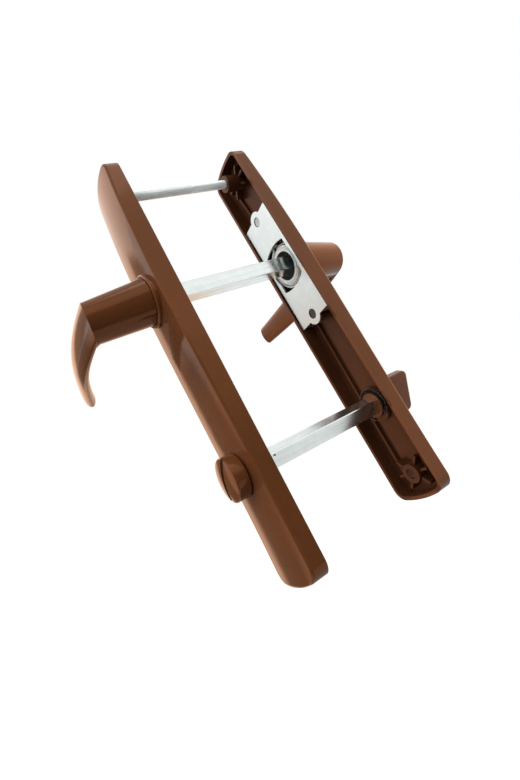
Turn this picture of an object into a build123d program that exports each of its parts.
"""Bathroom door handle set: two long cast plates, each with a sprung lever and a privacy turn.

The set stands as it would on a door: +Z up along the plates, the lever spindle along Y
through the origin, and the middle of the door leaf at Y = 0. The outer half, with the
release knob, is on the -Y side and is drawn first. The inner half, with the thumb turn,
is its mirror image. Sizes are in millimetres.
"""

import os
from math import asin, cos, degrees, radians, sin, sqrt

from build123d import *

os.makedirs("parts", exist_ok=True)

# Plates
door_gap = 69.0
plate_width = 32.4
plate_above = 76.0
plate_below = 139.0
end_bow = 2.0
corner_radius = 6.0
wall = 1.8
edge_round = 1.2

# How far the middle of the face stands off the door, from the top end to the bottom end
top_depth = 8.0
crest_depth = 11.3
shoulder_depth = 10.4
shoulder_z = -50.0
bottom_depth = 8.9
crown_radius = 98.0

# Axes on the plate, measured from the lever spindle
privacy_drop = 90.0
screw_rise = 63.0
lower_hole_drop = 127.0
rivet_pitch = 64.6

# Clearances
running_gap = 0.05
side_gap = 0.10
slip_gap = 0.20
turn_gap = 0.30

# Lever hub and its bearing
hub_radius = 10.0
hub_flat = 9.3
hub_bore_radius = 8.3
hub_bore_depth = 5.6
hub_sink = 2.3
bush_wall = 1.1
collar_radius = 13.3
collar_height = 1.6
seat_radius = 13.2
seat_depth = 8.6
ring_radius = 10.9
ring_thickness = 1.2
ring_groove = 0.6
ring_inset = 0.3

# Lever
spindle_size = 8.0
spindle_chamfer = 0.4
spindle_stand = 29.0
neck_base_radius = 11.6
neck_end_radius = 10.4
neck_stand = 39.5
neck_lean = 5.8
lever_reach = 105.5
grip_half_width = 10.3
tip_half_width = 6.8
grip_half_thickness = 3.4
elbow_overrun = 13.0
root_stand = 37.2
elbow_x = 12.0
elbow_stand = 41.2
bow_x = 35.0
bow_stand = 43.4
curl_x = 85.0
curl_stand = 40.0
tip_stand = 36.6
inner_bend = 6.0
tip_round = 1.2

# Return spring and its driver
spring_radius = 12.5
spring_wire = 1.3
spring_pitch = 1.75
spring_turns = 2
leg_angle = 11.0
leg_bend = 1.4
leg_reach = 18.2
driver_thickness = 1.0
lug_width = 3.2
lug_thickness = 1.2
post_width = 4.4
post_length = 2.2

# Pressed steel cover over the spring
cover_inset = 1.1
cover_thickness = 1.0
cover_half_width = 13.6
ear_half_width = 14.3
ear_length = 4.5
cover_end = 35.2
tongue_end = 38.4
tongue_half_width = 6.0
window_radius = 12.2
window_tip_x = 10.8
window_tip_z = 11.4
window_top = 13.6
foot_width = 7.0
foot_x = 10.1
dimple_radius = 2.9
dimple_depth = 1.0
rivet_head_radius = 2.7
rivet_head_thickness = 0.6
rivet_shank_radius = 1.5
rivet_length = 5.4
rivet_boss_radius = 4.2

# Privacy turn
privacy_lean = 30.0
privacy_spindle_size = 7.4
privacy_spindle_stand = 12.5
mark_inset = 7.3
mark_shift = 2.4
mark_radius = 0.7
turn_hub_radius = 6.5
turn_hub_sink = 3.1
turn_boss_radius = 9.2
turn_boss_sink = 4.9
turn_base_radius = 9.8
turn_base_stand = 9.9
turn_base_thickness = 4.0
knob_edge_stand = 15.6
knob_crown_stand = 17.1
turn_round = 0.8
coin_slot_width = 2.2
coin_slot_depth = 2.2
wing_half_length = 11.0
wing_stand = 29.5
wing_thickness = 6.0
wing_tip_thickness = 4.6
wing_corner = 3.0
wing_round = 1.0
clip_radius = 8.8
clip_thickness = 0.9
clip_groove = 0.55

# Through screw, its bosses and the stiffening ribs
screw_radius = 2.5
screw_core_radius = 2.1
screw_head_radius = 4.6
screw_sink = 6.5
screw_tip = 0.6
recess_length = 4.6
recess_width = 0.9
recess_depth = 1.1
boss_radius = 4.9
boss_proud = 5.0
lower_boss_sink = 1.6
web_sink = 3.0
web_thickness = 1.3
rib_width = 1.3
rib_height = 1.6
rib_x = 8.4

# Sizes that follow
half_gap = door_gap / 2
half_width = plate_width / 2
hub_end = half_gap + hub_sink
spindle_reach = half_gap + spindle_stand
neck_end = half_gap + neck_stand
screw_end = half_gap + screw_sink
privacy_spindle_reach = half_gap + privacy_spindle_stand
turn_hub_end = half_gap + turn_hub_sink
turn_boss_end = half_gap + turn_boss_sink
turn_base = half_gap + turn_base_stand
knob_edge = half_gap + knob_edge_stand
knob_crown = half_gap + knob_crown_stand
wing_end = half_gap + wing_stand
beyond = 24.0
cover_plane = half_gap + cover_inset
cover_under = cover_plane + cover_thickness
dimple_plane = cover_under + dimple_depth
rivet_head = dimple_plane - cover_thickness - rivet_head_thickness
rivet_end = dimple_plane - cover_thickness + rivet_length
seat_plane = half_gap + seat_depth
collar_plane = half_gap + crest_depth + collar_height
bush_radius = hub_radius + running_gap + bush_wall
neck_base = collar_plane + turn_gap
ring_plane = hub_end + ring_inset
ring_under = ring_plane + ring_thickness
driver_plane = seat_plane - side_gap - driver_thickness
sleeve_radius = spring_radius - spring_wire / 2 - turn_gap
lug_inner = spring_radius + spring_wire / 2 + turn_gap
lug_outer = lug_inner + lug_thickness
post_inner = leg_reach - post_length
coil_start = leg_angle + degrees(asin(leg_bend / (spring_radius + leg_bend)))
spring_sweep = 360 * spring_turns - 2 * coil_start
spring_top = driver_plane - spring_wire / 2 - turn_gap
spring_height = spring_pitch * spring_sweep / 360
post_plane = spring_top - spring_height - spring_wire / 2
clip_plane = turn_boss_end - side_gap - clip_thickness
screw_axis = (0, screw_rise)
lower_axis = (0, -lower_hole_drop)
privacy_axis = (0, -privacy_drop)
rivet_axes = [(0, rivet_pitch / 2), (0, -rivet_pitch / 2)]

with BuildLine(Plane.YZ) as ridge:
    Spline(
        (-half_gap - top_depth, plate_above + 2),
        (-half_gap - crest_depth, 0),
        (-half_gap - shoulder_depth, shoulder_z),
        (-half_gap - bottom_depth, -plate_below - 2),
    )


def face_distance(z):
    """How far the middle of the face stands from the middle of the door at this height."""
    crossing = ridge.line.edge().intersect(Axis((0, 0, z), (0, 1, 0)))
    return -crossing.vertices()[0].Y


def outward(distance):
    """Drawing plane this far from the middle of the door, looking out: x along X, y along Z."""
    return Plane.XZ.offset(distance)


def plate_outline(inset):
    """Outline of the plate, or of a line this far inside it: straight sides, bowed ends."""
    side = half_width - inset
    top = plate_above - inset
    bottom = -plate_below + inset
    with BuildSketch() as outline:
        with BuildLine():
            upper = ThreePointArc((side, top - end_bow), (0, top), (-side, top - end_bow))
            lower = ThreePointArc((-side, bottom + end_bow), (0, bottom), (side, bottom + end_bow))
            Line(upper @ 1, lower @ 0)
            Line(lower @ 1, upper @ 0)
        make_face()
        fillet(outline.vertices(), corner_radius - inset)
    return outline.sketch


def crowned_block(sink):
    """Everything behind the humped and crowned face, or behind a surface this far under it."""
    with BuildPart() as block:
        section = Plane(origin=ridge.line @ 0, x_dir=(1, 0, 0), z_dir=ridge.line % 0)
        half = half_width + 3
        drop = crown_radius - sqrt(crown_radius**2 - half**2)
        with BuildSketch(section):
            with BuildLine():
                crown = ThreePointArc((-half, -drop - sink), (0, -sink), (half, -drop - sink))
                Polyline(crown @ 1, (half, -beyond), (-half, -beyond), crown @ 0)
            make_face()
        sweep(path=ridge.line)
    return block.part


def hub_section(gap):
    """Cross section of the lever hub: round, with a flat on each side, grown by a gap."""
    with BuildSketch() as section:
        Circle(hub_radius + gap)
        Rectangle(2 * (hub_flat + gap), 4 * hub_radius, mode=Mode.INTERSECT)
    return section.sketch


def square_bar(size, chamfer_size, reach, axis, lean):
    """Square spindle through the door, the same length on both sides of its middle."""
    with BuildPart() as bar:
        with BuildSketch(outward(-reach)):
            with Locations(axis):
                Rectangle(size, size, rotation=-lean)
        extrude(amount=2 * reach)
        chamfer(bar.edges().filter_by(Axis.Y), chamfer_size)
    return bar


def mirrored(half):
    """The same piece on the inner side of the door."""
    with BuildPart() as twin:
        add(half.part)
        mirror(about=Plane.XZ, mode=Mode.REPLACE)
    return twin


def save(piece, label):
    piece.part.label = label
    export_step(piece.part, f"parts/{label}.step")


# Cast shell that both plates share
face_block = crowned_block(0)
floor_block = crowned_block(wall)
web_block = crowned_block(wall / 2)
rib_block = crowned_block(wall + rib_height)

with BuildPart() as hollow:
    with BuildSketch(outward(half_gap)):
        add(plate_outline(wall))
    extrude(amount=beyond)
    add(floor_block, mode=Mode.INTERSECT)

with BuildPart() as ribs:
    rib_start = cover_end + 1
    with BuildSketch(outward(half_gap)):
        with Locations((0, (screw_rise + rib_start) / 2)):
            with GridLocations(2 * rib_x, 0, 2, 1):
                Rectangle(rib_width, screw_rise - rib_start)
        with Locations((0, -(lower_hole_drop + rib_start) / 2)):
            with GridLocations(2 * rib_x, 0, 2, 1):
                Rectangle(rib_width, lower_hole_drop - rib_start)
    extrude(amount=beyond)
    add(web_block, mode=Mode.INTERSECT)
    add(rib_block, mode=Mode.SUBTRACT)

with BuildPart() as bosses:
    with BuildSketch(outward(half_gap + web_sink)):
        for centre in (screw_axis, lower_axis):
            with Locations(centre):
                Rectangle(web_thickness, 4 * boss_radius, rotation=45)
                Rectangle(web_thickness, 4 * boss_radius, rotation=-45)
                Rectangle(4 * boss_radius, web_thickness)
    extrude(amount=beyond)
    with BuildSketch(outward(half_gap - boss_proud)):
        with Locations(screw_axis):
            Circle(boss_radius)
    extrude(amount=beyond)
    with BuildSketch(outward(half_gap + lower_boss_sink)):
        with Locations(lower_axis):
            Circle(boss_radius)
    extrude(amount=beyond)
    with BuildSketch(outward(turn_boss_end)):
        with Locations(privacy_axis):
            Circle(turn_boss_radius)
    extrude(amount=beyond)
    with BuildSketch(outward(dimple_plane)):
        with Locations(*rivet_axes):
            Circle(rivet_boss_radius)
    extrude(amount=beyond)
    with BuildSketch(outward(post_plane)):
        with Locations((0, post_inner + post_length / 2)):
            Rectangle(post_width, post_length)
    extrude(amount=beyond)
    with BuildSketch(outward(seat_plane)):
        Circle(seat_radius)
    extrude(amount=beyond)
    add(web_block, mode=Mode.INTERSECT)

with BuildPart() as casting:
    with BuildSketch(outward(half_gap)):
        add(plate_outline(0))
    extrude(amount=beyond)
    add(face_block, mode=Mode.INTERSECT)
    fillet(casting.faces().sort_by(Axis.Y)[0].edges(), edge_round)
    add(hollow.part, mode=Mode.SUBTRACT)
    add(ribs.part)
    add(bosses.part)
    with BuildSketch(outward(seat_plane + wall / 2)):
        Circle(collar_radius)
    extrude(amount=collar_plane - seat_plane - wall / 2)
    fillet(casting.faces().sort_by(Axis.Y)[0].edges(), collar_height / 2)
    with BuildSketch(outward(half_gap)):
        Circle(bush_radius)
        with Locations(privacy_axis):
            Circle(turn_hub_radius + running_gap)
    extrude(amount=beyond, mode=Mode.SUBTRACT)
    with BuildSketch(outward(half_gap)):
        with Locations(*rivet_axes):
            Circle(rivet_shank_radius)
    extrude(amount=rivet_end - half_gap, mode=Mode.SUBTRACT)

with BuildPart() as outer_backplate:
    add(casting.part)
    with BuildSketch(outward(half_gap - boss_proud)):
        with Locations(screw_axis):
            Circle(screw_radius + running_gap)
        with Locations(lower_axis):
            Circle(screw_core_radius)
    extrude(amount=screw_end + slip_gap - half_gap + boss_proud, mode=Mode.SUBTRACT)
save(outer_backplate, "outer_backplate")

inner_casting = mirrored(casting)
screw_face = face_distance(screw_rise) - slip_gap
lower_face = face_distance(-lower_hole_drop) - slip_gap
with BuildPart() as inner_backplate:
    add(inner_casting.part)
    sink_radius = screw_head_radius + slip_gap
    with Locations(Plane(origin=(0, screw_face, screw_rise), z_dir=(0, 1, 0))):
        CounterSinkHole(screw_radius + slip_gap, sink_radius, counter_sink_angle=90)
    with Locations(Plane(origin=(0, lower_face, -lower_hole_drop), z_dir=(0, 1, 0))):
        CounterSinkHole(screw_radius + slip_gap, sink_radius, counter_sink_angle=90)
save(inner_backplate, "inner_backplate")

# Screw that clamps the two plates to the door: its head sinks into the inner plate
with BuildPart() as top_screw:
    head_start = screw_face - screw_head_radius + screw_radius
    rim = screw_rise + screw_radius
    with BuildSketch(Plane.YZ):
        with BuildLine():
            Polyline(
                (-screw_end, screw_rise),
                (-screw_end, rim - screw_tip),
                (-screw_end + screw_tip, rim),
                (head_start, rim),
                (screw_face, screw_rise + screw_head_radius),
                (screw_face, screw_rise),
                close=True,
            )
        make_face()
    revolve(axis=Axis((0, 0, screw_rise), (0, 1, 0)))
    with BuildSketch(outward(-screw_face)):
        with Locations(screw_axis):
            Rectangle(recess_length, recess_width)
            Rectangle(recess_width, recess_length)
    extrude(amount=recess_depth, mode=Mode.SUBTRACT)
save(top_screw, "top_screw")

# Bearing ring pressed into the collar of each plate
with BuildPart() as outer_neck_bush:
    with BuildSketch(outward(seat_plane)):
        Circle(bush_radius)
        Circle(hub_radius + running_gap, mode=Mode.SUBTRACT)
    extrude(amount=collar_plane - seat_plane - slip_gap)
save(outer_neck_bush, "outer_neck_bush")
save(mirrored(outer_neck_bush), "inner_neck_bush")

# Pressed steel cover with its folded feet, riveted over the spring
with BuildPart() as outer_spring_cover:
    with BuildSketch(outward(cover_plane)):
        Rectangle(2 * cover_half_width, 2 * cover_end)
        with Locations((0, cover_end - ear_length / 2), (0, -cover_end + ear_length / 2)):
            Rectangle(2 * ear_half_width, ear_length)
        SlotOverall(2 * tongue_end, 2 * tongue_half_width, rotation=90)
        Circle(window_radius, mode=Mode.SUBTRACT)
        with BuildLine():
            tip = (window_tip_x, window_tip_z)
            over = ThreePointArc(tip, (0, window_top), (-window_tip_x, window_tip_z))
            under = ThreePointArc((-window_tip_x, -window_tip_z), (0, -window_top), (window_tip_x, -window_tip_z))
            Line(over @ 1, under @ 0)
            Line(under @ 1, over @ 0)
        make_face(mode=Mode.SUBTRACT)
    extrude(amount=cover_thickness)
    with BuildSketch(outward(cover_plane)):
        with GridLocations(2 * foot_x, 2 * cover_end - cover_thickness, 2, 2):
            Rectangle(foot_width, cover_thickness)
    extrude(amount=beyond)
    with BuildSketch(outward(cover_under)):
        with Locations(*rivet_axes):
            Circle(dimple_radius + cover_thickness)
    extrude(amount=dimple_depth)
    with BuildSketch(outward(cover_plane)):
        with Locations(*rivet_axes):
            Circle(dimple_radius)
    extrude(amount=dimple_plane - cover_thickness - cover_plane, mode=Mode.SUBTRACT)
    with BuildSketch(outward(cover_plane)):
        with Locations(*rivet_axes):
            Circle(rivet_shank_radius)
    extrude(amount=beyond, mode=Mode.SUBTRACT)
    add(crowned_block(wall + running_gap), mode=Mode.INTERSECT)
save(outer_spring_cover, "outer_spring_cover")
save(mirrored(outer_spring_cover), "inner_spring_cover")

with BuildPart() as outer_cover_rivets:
    with BuildSketch(outward(rivet_head)):
        with Locations(*rivet_axes):
            Circle(rivet_head_radius)
    extrude(amount=rivet_head_thickness)
    heads = outer_cover_rivets.faces().sort_by(Axis.Y)[-2:]
    chamfer(heads.edges(), rivet_head_thickness / 2)
    with BuildSketch(outward(rivet_head + rivet_head_thickness)):
        with Locations(*rivet_axes):
            Circle(rivet_shank_radius)
    extrude(amount=rivet_length)
save(outer_cover_rivets, "outer_cover_rivets")
save(mirrored(outer_cover_rivets), "inner_cover_rivets")

# Lever: a bowed grip that narrows to its tip, on a leaning round neck
with BuildPart() as grip:
    with BuildLine(Plane.XY) as bow:
        Spline(
            (elbow_overrun, -half_gap - root_stand),
            (-elbow_x, -half_gap - elbow_stand),
            (-bow_x, -half_gap - bow_stand),
            (-curl_x, -half_gap - curl_stand),
            (-lever_reach, -half_gap - tip_stand),
        )
    for along in (0, 0.12, 0.26, 0.45, 0.63, 0.82, 1):
        reach = max(0.0, (along - 0.26) / 0.74)
        half_breadth = grip_half_width - (grip_half_width - tip_half_width) * reach**1.3
        station = Plane(origin=bow.line @ along, x_dir=(0, 0, 1), z_dir=bow.line % along)
        with BuildSketch(station):
            Ellipse(half_breadth, grip_half_thickness)
    loft()
    fillet(grip.faces().sort_by(Axis.X)[0].edges(), tip_round)


def leaning_neck(far):
    """Round neck from its shoulder out to a given distance, thinning and leaning to the grip."""
    share = (far - neck_base) / (neck_end - neck_base)
    with BuildPart() as cone:
        with BuildSketch(outward(neck_base)):
            Circle(neck_base_radius)
        with BuildSketch(outward(far)):
            with Locations((-neck_lean * share, 0)):
                Circle(neck_base_radius + (neck_end_radius - neck_base_radius) * share)
        loft()
    return cone.part


with BuildPart() as elbow_waste:
    with BuildSketch(outward(neck_base)):
        with Locations((elbow_overrun - neck_lean, 0)):
            Rectangle(2 * elbow_overrun, 4 * grip_half_width)
    extrude(amount=2 * neck_end - neck_base)
    add(leaning_neck(neck_end + 2 * elbow_overrun), mode=Mode.SUBTRACT)

with BuildPart() as outer_lever:
    add(grip.part)
    add(elbow_waste.part, mode=Mode.SUBTRACT)
    add(leaning_neck(neck_end))
    creases = outer_lever.edges().filter_by(GeomType.BSPLINE)
    fillet(creases.filter_by_position(Axis.X, -2 * elbow_x, -neck_lean - 2), inner_bend)
    with BuildSketch(outward(hub_end)):
        Circle(hub_radius)
    extrude(amount=neck_base - hub_end)
    with BuildSketch(outward(hub_end)):
        Rectangle(4 * hub_radius, 4 * hub_radius)
        add(hub_section(0), mode=Mode.SUBTRACT)
    extrude(amount=seat_plane - hub_end, mode=Mode.SUBTRACT)
    with BuildSketch(outward(ring_plane)):
        Circle(2 * hub_radius)
        Circle(hub_radius - ring_groove, mode=Mode.SUBTRACT)
    extrude(amount=ring_thickness, mode=Mode.SUBTRACT)
    with BuildSketch(outward(hub_end)):
        Circle(hub_bore_radius)
    extrude(amount=hub_bore_depth, mode=Mode.SUBTRACT)
    with BuildSketch(outward(hub_end)):
        Rectangle(spindle_size + 2 * running_gap, spindle_size + 2 * running_gap)
    extrude(amount=spindle_reach + slip_gap - hub_end, mode=Mode.SUBTRACT)
save(outer_lever, "outer_lever")
save(mirrored(outer_lever), "inner_lever")

lever_spindle = square_bar(spindle_size, spindle_chamfer, spindle_reach, (0, 0), 0)
save(lever_spindle, "lever_spindle")

# Retaining ring that snaps into the groove at the end of the hub
with BuildPart() as outer_hub_ring:
    with BuildSketch(outward(ring_plane)):
        Circle(ring_radius)
        Circle(hub_radius - ring_groove + running_gap, mode=Mode.SUBTRACT)
    extrude(amount=ring_thickness)
save(outer_hub_ring, "outer_hub_ring")
save(mirrored(outer_hub_ring), "inner_hub_ring")

# Driver keyed to the hub: its sleeve carries the spring, its lug pushes the spring's legs
with BuildPart() as outer_spring_driver:
    with BuildSketch(outward(driver_plane)):
        Circle(lug_inner)
        with Locations((0, lug_outer / 2)):
            Rectangle(lug_width, lug_outer)
    extrude(amount=driver_thickness)
    with BuildSketch(outward(ring_under)):
        Circle(sleeve_radius)
    extrude(amount=driver_plane - ring_under)
    with BuildSketch(outward(post_plane)):
        with Locations((0, lug_inner + lug_thickness / 2)):
            Rectangle(lug_width, lug_thickness)
    extrude(amount=driver_plane - post_plane)
    with BuildSketch(outward(ring_under)):
        add(hub_section(running_gap))
    extrude(amount=beyond, mode=Mode.SUBTRACT)
save(outer_spring_driver, "outer_spring_driver")
save(mirrored(outer_spring_driver), "inner_spring_driver")

# Return spring: a short coil whose two legs turn outwards beside the lug and the fixed post
coil_plane = Plane(
    origin=(0, -spring_top + spring_height, 0),
    x_dir=(-sin(radians(coil_start)), 0, cos(radians(coil_start))),
    z_dir=(0, -1, 0),
)
coil = coil_plane * Edge.make_helix(spring_pitch, spring_height, spring_radius)
with BuildPart() as outer_return_spring:
    with BuildLine() as wire:
        add(coil)
        for end, way in ((0, -1), (1, 1)):
            heading = (coil % end) * way
            out = Vector((coil @ end).X, 0, (coil @ end).Z).normalized()
            bend = TangentArc(coil @ end, coil @ end + (heading + out) * leg_bend, tangent=heading)
            Line(bend @ 1, bend @ 1 + out * (leg_reach - spring_radius - leg_bend))
    with BuildSketch(Plane(origin=wire.wire() @ 0, z_dir=wire.wire() % 0)):
        RegularPolygon(spring_wire / 2, 6)
    sweep(path=wire.wire())
save(outer_return_spring, "outer_return_spring")
save(mirrored(outer_return_spring), "inner_return_spring")


def turn_profile(edge, crown):
    """Half outline of the foot of a privacy turn: grooved hub, round base, domed top."""
    axis_z = -privacy_drop
    stem = axis_z + turn_hub_radius
    groove = stem - clip_groove
    rim = axis_z + turn_base_radius
    with BuildSketch() as profile:
        with BuildLine():
            foot = Polyline(
                (-crown, axis_z),
                (-turn_hub_end, axis_z),
                (-turn_hub_end, stem),
                (-clip_plane, stem),
                (-clip_plane, groove),
                (-clip_plane - clip_thickness, groove),
                (-clip_plane - clip_thickness, stem),
                (-turn_base, stem),
                (-turn_base, rim),
                (-edge, rim),
            )
            TangentArc(foot @ 0, foot @ 1, tangent=(0, 1))
        make_face()
        fillet(profile.vertices().group_by(Axis.Y)[-1].sort_by(Axis.X)[0], turn_round)
    return profile.sketch


turn_axis = Axis((0, 0, -privacy_drop), (0, 1, 0))
socket_size = privacy_spindle_size + 2 * running_gap
socket_end = privacy_spindle_reach + slip_gap

# Release knob with a coin slot, on the outer side
with BuildPart() as release_knob:
    with BuildSketch(Plane.YZ):
        add(turn_profile(knob_edge, knob_crown))
    revolve(axis=turn_axis)
    with BuildSketch(outward(knob_crown - coin_slot_depth)):
        with Locations(privacy_axis):
            Rectangle(coin_slot_width, 3 * turn_base_radius, rotation=-privacy_lean)
    extrude(amount=beyond, mode=Mode.SUBTRACT)
    with BuildSketch(outward(turn_hub_end)):
        with Locations(privacy_axis):
            Rectangle(socket_size, socket_size, rotation=-privacy_lean)
    extrude(amount=socket_end - turn_hub_end, mode=Mode.SUBTRACT)
save(release_knob, "release_knob")

# Thumb turn, drawn on the outer side and mirrored: the same foot under a flat wing
with BuildPart() as wing:
    wing_root = turn_base + turn_base_thickness / 2
    for distance, thickness in ((wing_root, wing_thickness), (wing_end, wing_tip_thickness)):
        with BuildSketch(outward(distance)):
            with Locations(privacy_axis):
                Rectangle(thickness, 2 * wing_half_length, rotation=-privacy_lean)
    loft()
    corners = wing.faces().sort_by(Axis.Y)[0].edges().sort_by(SortBy.LENGTH)[:2]
    fillet(corners, wing_corner)
    fillet(wing.faces().sort_by(Axis.Y)[0].edges(), wing_round)

with BuildPart() as outward_turn:
    with BuildSketch(Plane.YZ):
        add(turn_profile(turn_base + turn_base_thickness - turn_round, turn_base + turn_base_thickness))
    revolve(axis=turn_axis)
    add(wing.part)
    with BuildSketch(outward(turn_hub_end)):
        with Locations(privacy_axis):
            Rectangle(socket_size, socket_size, rotation=-privacy_lean)
    extrude(amount=socket_end - turn_hub_end, mode=Mode.SUBTRACT)
save(mirrored(outward_turn), "thumb_turn")

# Its spindle, with a punch mark near the end that goes into the knob
with BuildPart() as privacy_spindle:
    bar = square_bar(privacy_spindle_size, spindle_chamfer, privacy_spindle_reach, privacy_axis, privacy_lean)
    add(bar.part)
    slope = radians(privacy_lean)
    inward = (-cos(slope), 0, sin(slope))
    lower_flat = Plane(origin=(0, mark_inset - half_gap, -privacy_drop), x_dir=(0, -1, 0), z_dir=inward)
    with Locations(lower_flat * Location((0, mark_shift, -privacy_spindle_size / 2))):
        Cone(mark_radius, 0, mark_radius, align=(Align.CENTER, Align.CENTER, Align.MIN), mode=Mode.SUBTRACT)
save(privacy_spindle, "privacy_spindle")

# Spring clip pushed sideways into the groove of each hub
with BuildPart() as release_knob_clip:
    groove_radius = turn_hub_radius - clip_groove + running_gap
    with BuildSketch(outward(clip_plane)):
        with Locations(privacy_axis):
            Circle(clip_radius)
            Circle(groove_radius, mode=Mode.SUBTRACT)
        with Locations((0, -privacy_drop - clip_radius)):
            Rectangle(1.6 * groove_radius, 2 * clip_radius, mode=Mode.SUBTRACT)
    extrude(amount=clip_thickness)
save(release_knob_clip, "release_knob_clip")
save(mirrored(release_knob_clip), "thumb_turn_clip")
